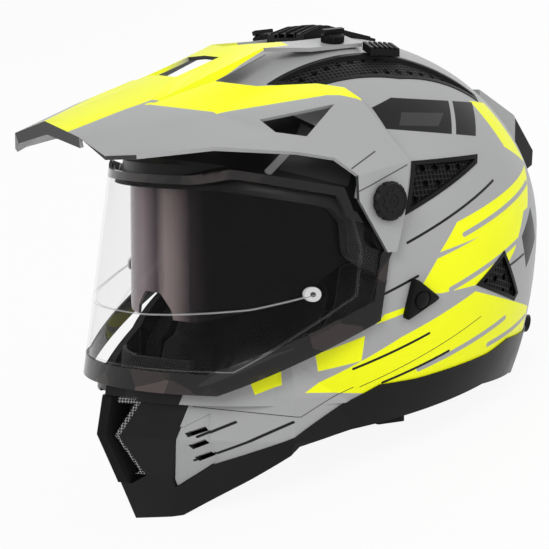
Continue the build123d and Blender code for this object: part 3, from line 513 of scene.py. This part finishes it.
own_finishes = {
    "peak": wired("printed_peak", printed_peak),
    "insert_pins": wired("insert_plastic", insert_plastic)}

slot_of = {part["node"]: part["material_slot"] for part in frame["record"]["subparts"]}
body_of = {node: body for body, nodes in frame["record"]["behaviour"]["bodies"].items() for node in nodes}
for name, piece in frame["nodes"].items():
    piece.data.materials.clear()
    piece.data.materials.append(own_finishes.get(name) or finishes[slot_of[name]])


# Ways to make a piece
def linked(name, mesh, finish, body, slot, *stands_for):
    """Puts a mesh in the scene with its finish and its body, and hides the CAD nodes that it stands for; the slot
    is not used.
    """
    piece = bpy.data.objects.new(name, mesh)
    bpy.context.scene.collection.objects.link(piece)
    mesh.materials.clear()
    mesh.materials.append(finish)
    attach(piece, body)
    if stands_for:
        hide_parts(*stands_for)
    return piece


weld_distance, merge_distance = 2e-5, 1e-6
flat_angle, mould_angle, crease_angle = 0.6, 28, 40
mould_segments = 3


def joined_copy(node):
    """The node's form with its loose triangles joined and its flat stretches made whole faces."""
    mesh = frame["nodes"][node].data.copy()
    work = bmesh.new()
    work.from_mesh(mesh)
    bmesh.ops.remove_doubles(work, verts=work.verts, dist=weld_distance)
    bmesh.ops.dissolve_limit(work, angle_limit=np.radians(flat_angle), verts=work.verts, edges=work.edges)
    work.to_mesh(mesh)
    work.free()
    if "custom_normal" in mesh.attributes:
        mesh.attributes.remove(mesh.attributes["custom_normal"])
    return mesh


def smoothed(mesh):
    """Smooth shading on every face."""
    mesh.polygons.foreach_set("use_smooth", np.ones(len(mesh.polygons), bool))


def shaded(mesh, angle):
    """Smooth shading, with the edges that turn by more than the angle kept sharp."""
    smoothed(mesh)
    mesh.set_sharp_from_angle(angle=np.radians(angle))


def eased(node, name, width, finish=None):
    """The node's form with its corners rounded as a mould leaves them."""
    mesh = joined_copy(node)
    shaded(mesh, mould_angle)
    piece = linked(name, mesh, finish or finishes[slot_of[node]], body_of[node], slot_of[node], node)
    bevel = piece.modifiers.new("rounded", "BEVEL")
    bevel.width, bevel.segments = width * mm, mould_segments
    bevel.limit_method, bevel.angle_limit = "ANGLE", np.radians(mould_angle)
    bevel.harden_normals = True


def surface(points):
    """A mesh from a grid of points: each row is closed round on itself and joined to the next row."""
    rows, columns = points.shape[:2]
    index = np.arange(rows * columns).reshape(rows, columns)
    index = np.hstack([index, index[:, :1]])
    corners = [index[:-1, :-1], index[1:, :-1], index[1:, 1:], index[:-1, 1:]]
    faces_of_grid = np.stack(corners, axis=-1).reshape(-1, 4)
    mesh = bpy.data.meshes.new("surface")
    mesh.from_pydata(points.reshape(-1, 3).tolist(), [], faces_of_grid.tolist())
    return mesh


def outward(mesh):
    """Closes a mesh's ends and turns its faces outwards, after its doubled points are merged."""
    work = bmesh.new()
    work.from_mesh(mesh)
    bmesh.ops.remove_doubles(work, verts=work.verts, dist=merge_distance)
    bmesh.ops.holes_fill(work, edges=[edge for edge in work.edges if edge.is_boundary])
    bmesh.ops.recalc_face_normals(work, faces=work.faces)
    work.to_mesh(mesh)
    work.free()
    shaded(mesh, crease_angle)
    return mesh


oval_points, oval_flat_power, oval_deep_power = 20, 0.35, 0.7


def ribbon(middle, across, out, width, thickness):
    """A band along a path: at each point of it, a flat oval as wide as the band and as thick.

    The oval is a circle's cosine across and its sine outwards, each to a small power, which squares it.
    """
    turn = np.linspace(0, 2 * np.pi, oval_points, endpoint=False)
    flat = np.sign(np.cos(turn)) * np.abs(np.cos(turn)) ** oval_flat_power * width / 2
    deep = np.sign(np.sin(turn)) * np.abs(np.sin(turn)) ** oval_deep_power * thickness / 2
    grid = middle[:, None] + flat[None, :, None] * across[:, None] + deep[None, :, None] * out[:, None]
    return outward(surface(placed(grid)))


# Soft liner pieces
def settled(piece):
    """The piece's mesh as its modifiers leave it."""
    graph = bpy.context.evaluated_depsgraph_get()
    return bpy.data.meshes.new_from_object(piece.evaluated_get(graph))


def corners_of(mesh):
    """The places of a mesh's points, as an array."""
    places = np.zeros(len(mesh.vertices) * 3)
    mesh.vertices.foreach_get("co", places)
    return places.reshape(-1, 3)


cloth_frames, cloth_pressure = 16, 4
least_move = 1e-9


def pad(node, name, voxel=5.0, shrink=3.0, swell=4.0):
    """A stuffed liner piece: the node's form drawn in, blown up as cloth, held to the swell and smoothed.

    Each point moves as the cloth does, but by the swell at most. It rides on its body once its shape is done.
    """
    piece = linked(name, joined_copy(node), finishes["liner_fabric"], body_of[node], slot_of[node], node)
    piece.parent = None
    remesh = piece.modifiers.new("even", "REMESH")
    remesh.mode, remesh.voxel_size = "VOXEL", voxel * mm
    piece.data = settled(piece)
    piece.modifiers.clear()
    mesh = piece.data
    normals = np.zeros(len(mesh.vertices) * 3)
    mesh.vertices.foreach_get("normal", normals)
    start = corners_of(mesh) - normals.reshape(-1, 3) * shrink * mm
    mesh.vertices.foreach_set("co", start.ravel())
    mesh.update()
    cloth = piece.modifiers.new("filled", "CLOTH")
    cloth.settings.use_pressure = True
    cloth.settings.uniform_pressure_force = cloth_pressure
    cloth.settings.effector_weights.gravity = 0
    for step in range(1, cloth_frames + 1):
        bpy.context.scene.frame_set(step)
    blown = corners_of(settled(piece))
    piece.modifiers.clear()
    bpy.context.scene.frame_set(1)
    move = blown - start
    length = np.linalg.norm(move, axis=1, keepdims=True)
    move *= np.minimum(1, swell * mm / np.maximum(length, least_move))
    mesh.vertices.foreach_set("co", (start + move).ravel())
    mesh.update()
    smooth = piece.modifiers.new("smooth", "SUBSURF")
    smooth.levels = smooth.render_levels = 1
    smoothed(mesh)
    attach(piece, body_of[node])


pad("crown_pad", "crown_liner")
pad("neck_roll", "neck_liner")
for side in ("left", "right"):
    pad("cheek_pad_" + side, "cheek_liner_" + side, shrink=-2.0, swell=5.0)
pad("chin_curtain", "wind_curtain", voxel=2.5, shrink=0.6, swell=0.8)


# Chin strap: down the wall from the rivet, then in under the jaw to the buckle
strap_width, strap_thickness = 22, 2.2
strap_path = np.array([(107, 29, -52), (105, 24, -66), (101, 15, -86), (95, 5, -104), (88, -5, -121),
                       (80, -14, -134), (68, -19.8, -143.5), (52, -19.8, -147.8), (36, -19.8, -150.8),
                       (20.8, -19.8, -152.6)], float)
strap_steps, strap_average = 60, 7


def strap(name, node, mirror):
    """A ribbon along the strap's path: the path in even steps, each the average of its neighbours."""
    steps = np.linspace(0, len(strap_path) - 1, strap_steps)
    stops = np.arange(len(strap_path))
    weights = np.ones(strap_average) / strap_average
    columns = [np.pad(np.interp(steps, stops, column), strap_average // 2, "edge") for column in strap_path.T]
    columns = [np.convolve(column, weights, "valid") for column in columns]
    middle = np.stack(columns, axis=1)
    along = np.gradient(middle, axis=0)
    along /= np.linalg.norm(along, axis=1, keepdims=True)
    level = np.tile([0.0, 1.0, 0.0], (len(middle), 1))
    across = level - (level * along).sum(1, keepdims=True) * along
    across /= np.linalg.norm(across, axis=1, keepdims=True)
    out = np.cross(across, along)
    flip = np.array([mirror, 1, 1])
    mesh = ribbon(middle * flip, across * flip, out * flip, strap_width, strap_thickness)
    linked(name, mesh, finishes["strap_webbing"], "helmet", "strap_webbing", node)


strap("webbing_left", "chin_strap_left", 1)
strap("webbing_right", "chin_strap_right", -1)


# Hard pieces with their moulded corners
eased("peak", "peak_blade", 1.0, own_finishes["peak"])
for node, width in (("chin_housing", 0.9), ("chin_vent_spine", 0.8), ("crown_scoop", 0.8),
                    ("rear_spoiler", 1.0), ("buckle_base", 0.4), ("buckle_lever", 0.4), ("visor_lever", 0.6),
                    ("visor_lever_rail", 0.5)):
    eased(node, "eased_" + node, width)
for side in ("left", "right"):
    for node, width in (("peak_knob", 0.3), ("crown_screw", 0.4), ("vent_slider", 0.4), ("gill_louvre", 0.5)):
        eased(node + "_" + side, "eased_" + node + "_" + side, width)


def in_head(place):
    """A row-frame place in the head frame, in millimetres."""
    away = (np.asarray(place, float) - head_origin) / mm
    return np.stack([away @ head_left, away @ head_back, away @ head_up], axis=-1)


ring_points = 120


def turned(name, centre, axis, rings, finish, body, slot, *stands_for):
    """A piece built of rings round an axis: each ring has a height and a radius for each direction round it.

    A ring's point is the centre, plus its height along the axis, plus its radius along the turned spoke.
    """
    around = np.linspace(0, 2 * np.pi, ring_points, endpoint=False)
    first = np.array([0.0, 1.0, 0.0]) - axis[1] * axis
    first /= np.linalg.norm(first)
    second = np.cross(axis, first)
    spokes = np.cos(around)[:, None] * first + np.sin(around)[:, None] * second
    grid = []
    for height, radius in rings:
        reach = radius(around) if callable(radius) else np.full(ring_points, radius)
        grid.append(centre + height * axis + reach[:, None] * spokes)
    linked(name, outward(surface(placed(np.array(grid)))), finish, body, slot, *stands_for)


def lobed(radius, lobes, depth):
    """A ring's radius with lobes round it."""
    return lambda around: radius + depth * np.cos(lobes * around)


corner_sharpness, least_corner_share = 7, 1e-3


def rounded_corners(corners, scale=1.0):
    """The radius of a polygon about its own middle, its corners rounded off.

    Each edge gives the share of its distance that a unit step spends, and the shares are summed as powers.
    """
    corners = np.asarray(corners, float) - np.mean(corners, axis=0)

    def radius(around):
        total = 0
        for start, end in zip(corners, np.roll(corners, -1, axis=0)):
            normal = np.array([end[1] - start[1], start[0] - end[0]]) / np.hypot(*(end - start))
            normal *= np.sign(normal @ start)
            share = np.cos(around) * normal[0] + np.sin(around) * normal[1]
            total = total + (np.maximum(share, least_corner_share) / (normal @ start)) ** corner_sharpness
        return scale * total ** (-1 / corner_sharpness)
    return radius


def top_of(node, centre, axis):
    """How far the node reaches along an axis."""
    return ((in_head(corners_of(frame["nodes"][node].data)) - centre) @ axis).max()


def raised(rings, top):
    """Rings whose heights are counted from a face."""
    return [(top + height, radius) for height, radius in rings]


# Rings as (height above the face that they stand on, radius), with the lobes of a gear and of a knurl
gear_lobes, gear_depth = 9, 0.9
knurl_lobes, knurl_depth = 22, 0.35
knob_rings = {
    "gear": [(-0.4, lobed(6.9, gear_lobes, gear_depth)), (0.5, lobed(6.6, gear_lobes, gear_depth)),
             (0.5, 4.2), (-0.4, 3.8)],
    "rim": [(-0.4, 10.9), (0.4, 10.6), (0.4, 9.4), (-0.4, 9.2)],
    "socket": [(-0.4, 2.2), (0.3, 2.0), (0.3, 1.2), (-0.4, 1.1)]}
collar_rings = [(-8.6, lobed(7.2, knurl_lobes, knurl_depth)), (-4.4, lobed(7.4, knurl_lobes, knurl_depth)),
                (-3.6, 6.6), (-3.6, 5.0)]
cap_base, cap_edge, cap_bevel, cap_bevel_scale = -4.5, 0.2, 0.9, 0.93
boss_rings = [(1.2, 6.6), (0.4, 6.2), (0.4, 5.4), (1.5, 5.0), (1.9, 4.2)]
cap_corners = [(22.8, -48.4), (44.8, -62.6), (19.0, -76.1)]
cap_direction = (0.975, 0.02, -0.2)
cap_neighbours = 6

for side, mirror in (("left", 1), ("right", -1)):
    # Knob: a gear ring, a rim ring and a socket ring raised on its face
    node = "peak_knob_" + side
    centre = in_head(joints["peak_knob_turn_" + side]["pos_m"])
    axis = np.array([mirror, 0.0, 0.0])
    top = top_of(node, centre, axis)
    for part, rings in knob_rings.items():
        turned("knob_" + part + "_" + side, centre, axis, raised(rings, top),
               finishes["knob_grey"], body_of[node], "knob_grey")

    # Crown screw: a knurled collar round its head
    node = "crown_screw_" + side
    joint = joints["crown_screw_turn_" + side]
    centre = in_head(joint["pos_m"])
    axis = in_head(head_origin + mm * np.array(joint["axis"]))
    axis = axis / np.linalg.norm(axis)
    axis = axis * np.sign(axis[2])
    top = top_of(node, centre, axis)
    turned("screw_collar_" + side, centre, axis, raised(collar_rings, top),
           finishes["black_plastic"], body_of[node], "black_plastic")

    # Strap cap: a rounded triangle with a round boss in a groove, as far out as the cap's own face
    node = "strap_cap_" + side
    places = in_head(corners_of(frame["nodes"][node].data))
    middle = np.array([0, *np.mean(cap_corners, axis=0)])
    order = np.argsort(np.hypot(places[:, 1] - middle[1], places[:, 2] - middle[2]))
    middle[0] = mirror * np.abs(places[order[:cap_neighbours], 0]).max()
    axis = np.array(cap_direction) * (mirror, 1, 1)
    axis /= np.linalg.norm(axis)
    corners = [(back, mirror * up) for back, up in cap_corners]
    edge = rounded_corners(corners)
    cap_rings = [(cap_base, edge), (cap_edge, edge), (cap_bevel, rounded_corners(corners, cap_bevel_scale))]
    turned("cap_cover_" + side, middle, axis, cap_rings + boss_rings,
           finishes["black_plastic"], "helmet", "black_plastic", node)


# Fins along the top of the crown scoop, as (back, up) points of its ridge and shares of its half width
scoop_ridge = np.array([(18, 101.6), (30.4, 105.8), (41, 106.4), (60.8, 102.6), (80, 99.4)])
scoop_front, scoop_front_half, scoop_taper = 15, 21, 9 / 68
fin_height, fin_width, fin_rise, fin_droop = 7.0, 1.7, 1.6, 0.8
fin_steps = 40
fin_shares = (-0.84, -0.45, 0.0, 0.45, 0.84)

for number, share in enumerate(fin_shares):
    back = np.linspace(scoop_ridge[0, 0], scoop_ridge[-1, 0], fin_steps)
    up = np.interp(back, *scoop_ridge.T) - fin_height / 2 + fin_rise - fin_droop * np.abs(share)
    side_place = share * (scoop_front_half - scoop_taper * (back - scoop_front))
    middle = np.stack([side_place, back, up], axis=1)
    level, rise = np.tile([1.0, 0, 0], (len(back), 1)), np.tile([0, 0, 1.0], (len(back), 1))
    linked("scoop_fin_%d" % number, ribbon(middle, level, rise, fin_width, fin_height),
           finishes["black_plastic"], "helmet", "black_plastic")


# Camera: the photograph's angle, worked out in the head frame
photo_size = 549
photo_focal = 1875
camera_turn, camera_rise = np.radians(55), np.radians(6.5)
camera_distance = 1250
camera_target = np.array([0, 8.8, -57.64])
sensor_width = 36

camera_level = np.cos(camera_rise)
camera_back = np.array([np.sin(camera_turn) * camera_level, -np.cos(camera_turn) * camera_level,
                        np.sin(camera_rise)])
camera_place = placed(camera_target + camera_distance * camera_back)
camera = bpy.data.objects.new("camera", bpy.data.cameras.new("camera"))
bpy.context.scene.collection.objects.link(camera)
camera.data.sensor_width = sensor_width
camera.data.lens = sensor_width * photo_focal / photo_size
towards = pointed(camera_back)
sideways = pointed((0, 0, 1)).cross(towards).normalized()
upright = towards.cross(sideways)
axes = Matrix((sideways, upright, towards)).transposed()
camera.matrix_world = Matrix.LocRotScale(Vector(camera_place), axes, None)
bpy.context.scene.camera = camera


# Studio: sizes and places in metres, powers in watts
floor_reach, floor_level, floor_white_share = 6.0, 0.85, 0.92
lamps = {"key": ((1.3, -1.5, 1.9), 1.2, 26),
         "fill": ((1.9, 0.9, 1.1), 1.4, 12),
         "back": ((-1.2, 1.6, 1.6), 1.2, 10)}
lamp_target = (0, 0, 0.12)
world_level = 0.55


def camera_sees(wire):
    """1 for the camera, for mirror rays and for rays that passed through a lens."""
    path = wire.node("LightPath")
    outputs = path.socket.node.outputs
    return any_of([Wire(wire.tree, outputs[name]) for name in
                   ("Is Camera Ray", "Is Glossy Ray", "Is Transmission Ray")])


def whitened(name, diffuse, share):
    """A pale surface that keeps shadows: part white light of its own for the camera, part plain."""
    material = bpy.data.materials.new(name)
    material.use_nodes = True
    tree = material.node_tree
    tree.nodes.clear()
    wire = Wire(tree)
    plain = wire.node("BsdfDiffuse", None, {"Color": grey(diffuse)})
    white = wire.node("Emission", None, {"Color": grey(1.0), "Strength": 1.0})
    mix = wire.node("MixShader", None, {"Fac": camera_sees(wire) * share, 1: plain, 2: white})
    output = tree.nodes.new("ShaderNodeOutputMaterial")
    tree.links.new(mix.socket, output.inputs["Surface"])
    return material


def make_floor():
    """A wide square on the ground."""
    mesh = bpy.data.meshes.new("floor")
    corners = [(x * floor_reach, y * floor_reach, 0) for x, y in ((-1, -1), (1, -1), (1, 1), (-1, 1))]
    mesh.from_pydata(corners, [], [(0, 1, 2, 3)])
    floor = bpy.data.objects.new("floor", mesh)
    bpy.context.scene.collection.objects.link(floor)
    mesh.materials.append(whitened("floor_white", floor_level, floor_white_share))


def lamp(name, place, size, power):
    """A soft square lamp that faces the helmet."""
    light = bpy.data.lights.new(name, "AREA")
    light.size, light.energy = size, power
    holder = bpy.data.objects.new(name, light)
    bpy.context.scene.collection.objects.link(holder)
    holder.location = place
    holder.rotation_euler = (Vector(place) - Vector(lamp_target)).to_track_quat("Z", "Y").to_euler()


def make_world():
    """A plain white sky that is dimmer for the light it gives than for what the camera sees."""
    world = bpy.data.worlds.new("studio")
    bpy.context.scene.world = world
    world.use_nodes = True
    tree = world.node_tree
    wire = Wire(tree)
    strength = camera_sees(wire).between(world_level, 1.0)
    tree.links.new(strength.socket, tree.nodes["Background"].inputs["Strength"])
    tree.nodes["Background"].inputs["Color"].default_value = grey(1.0)


make_floor()
make_world()
for name, (place, size, power) in lamps.items():
    lamp(name, place, size, power)
bpy.context.scene.view_settings.view_transform = "Standard"
